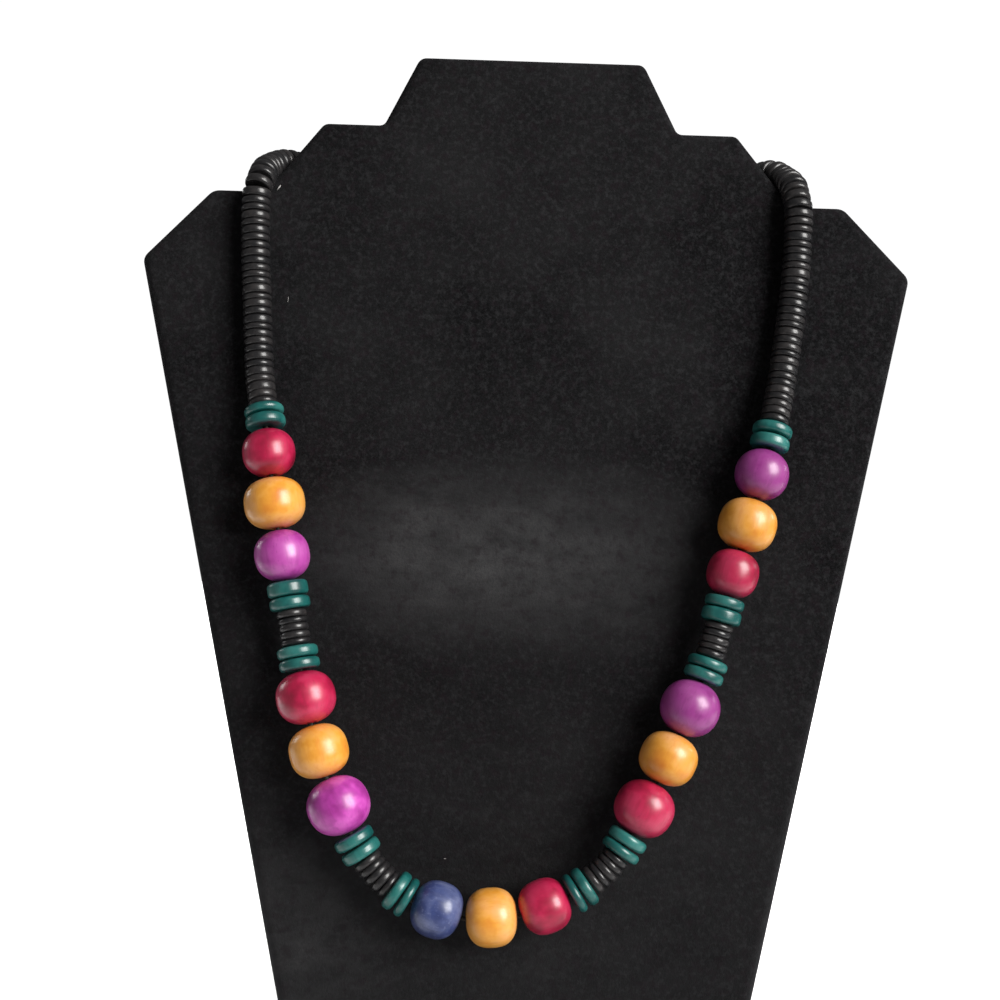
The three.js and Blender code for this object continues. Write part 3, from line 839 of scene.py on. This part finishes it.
def make_clasp(materials):
    """A closed barrel clasp in one piece, with a screw seam round its middle."""
    half = CLASP_LENGTH / 2
    shoulder = half - CLASP_NECK_LENGTH
    rim = 0.7 * MM
    seam = 0.25 * MM
    neck_round = 0.3 * MM
    hole = THREAD_RADIUS + 0.15 * MM
    upper = [
        (CLASP_RADIUS - seam, 0), (CLASP_RADIUS - seam, seam / 2), (CLASP_RADIUS, 2 * seam),
        (CLASP_RADIUS, shoulder - rim - 0.6 * MM),
        *arc((CLASP_RADIUS - rim, shoulder - rim), rim, 0, 75, 5),
        (CLASP_NECK_RADIUS, shoulder + 0.1 * MM),
        *arc((CLASP_NECK_RADIUS - neck_round, half - neck_round), neck_round, 0, 90, 4),
        (hole, half), (hole, half / 2),
    ]
    lower = [(radius, -height) for radius, height in reversed(upper[1:])]
    points, faces = lathe(lower + upper, DISC_SIDES)
    place = BOARD_FRAME @ place_on_thread(-half, half)
    add_piece("clasp_brass", points, faces, materials["brass"], ["clasp"], place)


def make_necklace(materials):
    strung, short_runs, front_end = string_front()
    counts = {}
    for row in strung:
        kind = row["kind"]
        counts[kind] = counts.get(kind, 0) + 1
        if kind == "green":
            node = f"green_disc_{counts[kind]}"
            make_green_disc(node + "_wood", node, row, materials)
        else:
            node = f"{kind}_bead_{counts[kind]}"
            make_bead(node + "_wood", node, row, materials)
    for i, starts in enumerate(short_runs, 1):
        make_black_run(f"black_discs_{i}_strung", f"black_discs_{i}", starts,
                       SHORT_RUN_PLAY, materials)
    for stretch, starts in long_runs(front_end).items():
        make_black_run(f"black_discs_{stretch}_strung", f"black_discs_{stretch}", starts,
                       LONG_RUN_PLAY, materials)
    make_whole_thread(materials)
    make_clasp(materials)


# ---- Camera, lights and floor ----

CAMERA_DISTANCE = 0.45
TARGET_ACROSS = -6.89 * MM
TARGET_UP = 187 * MM
CAMERA_TARGET = BOARD_FRAME @ Vector((TARGET_ACROSS, TARGET_UP, 0))
CAMERA_YAW = math.radians(1.6)
CAMERA_DROP = math.radians(6)
CAMERA_ROLL = math.radians(1.61)
SENSOR_WIDTH = 36
FOCAL_SHARE = 1.595
FLOOR_RADIUS = 0.65
FLOOR_MIDDLE_Y = 0.35
FLOOR_SIDES = 96
FLOOR_GREY = 0.62
FLOOR_DROP = 0.05 * MM
WORLD_LIGHT = 0.12
WORLD_SEEN = 1.05
# Area lights, in degrees, metres and watts. Azimuth 0 is in front of the board and 90 on its right.
# The floor light hangs low behind the board, so that it lights the floor there and not the
# necklace.
LIGHTS = [
    {"name": "window_light", "azimuth": 48, "elevation": 27, "distance": 2.8, "width": 1.6,
     "height": 1.8, "power": 130, "colour": (1, 0.985, 0.96), "target": CAMERA_TARGET},
    {"name": "left_fill", "azimuth": -58, "elevation": -2, "distance": 1.2, "width": 0.9,
     "height": 0.7, "power": 0.25, "colour": (1, 0.86, 0.82), "target": CAMERA_TARGET},
    {"name": "floor_light", "azimuth": 0, "elevation": 90, "distance": 0.28, "width": 1.4,
     "height": 1.0, "power": 21, "colour": (1, 1, 1), "target": (0, 0.62, 0)},
]


def make_camera():
    """The camera stands a little left of the middle, looks slightly down and is slightly rolled."""
    forward = Vector((
        math.sin(CAMERA_YAW) * math.cos(CAMERA_DROP),
        math.cos(CAMERA_YAW) * math.cos(CAMERA_DROP),
        -math.sin(CAMERA_DROP),
    ))
    level = forward.cross(Vector((0, 0, 1))).normalized()
    upright = level.cross(forward)
    right = level * math.cos(CAMERA_ROLL) + upright * math.sin(CAMERA_ROLL)
    up = upright * math.cos(CAMERA_ROLL) - level * math.sin(CAMERA_ROLL)
    data = bpy.data.cameras.new("camera")
    data.sensor_width = SENSOR_WIDTH
    data.lens = FOCAL_SHARE * SENSOR_WIDTH
    data.clip_start = 0.01
    camera = bpy.data.objects.new("camera", data)
    bpy.context.scene.collection.objects.link(camera)
    turn = Matrix((right, up, -forward)).transposed().to_4x4()
    camera.matrix_world = Matrix.Translation(CAMERA_TARGET - forward * CAMERA_DISTANCE) @ turn
    bpy.context.scene.camera = camera


def add_softbox(name, azimuth, elevation, distance, width, height, power, colour, target):
    """An area light that faces its target."""
    a, e = math.radians(azimuth), math.radians(elevation)
    towards = Vector((math.sin(a) * math.cos(e), -math.cos(a) * math.cos(e), math.sin(e)))
    data = bpy.data.lights.new(name, "AREA")
    data.shape = "RECTANGLE"
    data.size, data.size_y = width, height
    data.energy = power
    data.color = colour
    light = bpy.data.objects.new(name, data)
    bpy.context.scene.collection.objects.link(light)
    turn = towards.to_track_quat("Z", "Y").to_matrix().to_4x4()
    light.matrix_world = Matrix.Translation(Vector(target) + towards * distance) @ turn


def make_lights():
    for light in LIGHTS:
        add_softbox(**light)


def make_world():
    """White to the camera, and a dimmer even light on the object."""
    world = bpy.data.worlds.new("studio")
    bpy.context.scene.world = world
    world.use_nodes = True
    tree = world.node_tree
    tree.nodes.clear()
    seen = tree.nodes.new("ShaderNodeLightPath")
    dim = tree.nodes.new("ShaderNodeBackground")
    dim.inputs["Color"].default_value = (1, 1, 1, 1)
    dim.inputs["Strength"].default_value = WORLD_LIGHT
    white = tree.nodes.new("ShaderNodeBackground")
    white.inputs["Color"].default_value = (1, 1, 1, 1)
    white.inputs["Strength"].default_value = WORLD_SEEN
    mix = tree.nodes.new("ShaderNodeMixShader")
    out = tree.nodes.new("ShaderNodeOutputWorld")
    tree.links.new(seen.outputs["Is Camera Ray"], mix.inputs[0])
    tree.links.new(dim.outputs[0], mix.inputs[1])
    tree.links.new(white.outputs[0], mix.inputs[2])
    tree.links.new(mix.outputs[0], out.inputs[0])


def make_floor():
    """A plain pale round floor."""
    finish = Finish("pale_floor", Roughness=0.9, Specular_IOR_Level=0.2)
    finish.shader.inputs["Base Color"].default_value = (FLOOR_GREY, FLOOR_GREY, FLOOR_GREY, 1)
    angles = np.linspace(0, 2 * math.pi, FLOOR_SIDES, endpoint=False)
    points = [(FLOOR_RADIUS * math.cos(a), FLOOR_MIDDLE_Y + FLOOR_RADIUS * math.sin(a), 0)
              for a in angles]
    mesh = bpy.data.meshes.new("floor")
    mesh.from_pydata(points, [], [tuple(range(FLOOR_SIDES))])
    mesh.materials.append(finish.material)
    floor = bpy.data.objects.new("floor", mesh)
    floor.location.z = -FLOOR_DROP
    bpy.context.scene.collection.objects.link(floor)


make_camera()
make_lights()
make_world()
make_floor()
bpy.context.scene.view_settings.view_transform = "Standard"

materials = make_materials()
make_board(materials)
make_leg(materials)
make_necklace(materials)

bpy.context.view_layer.update()
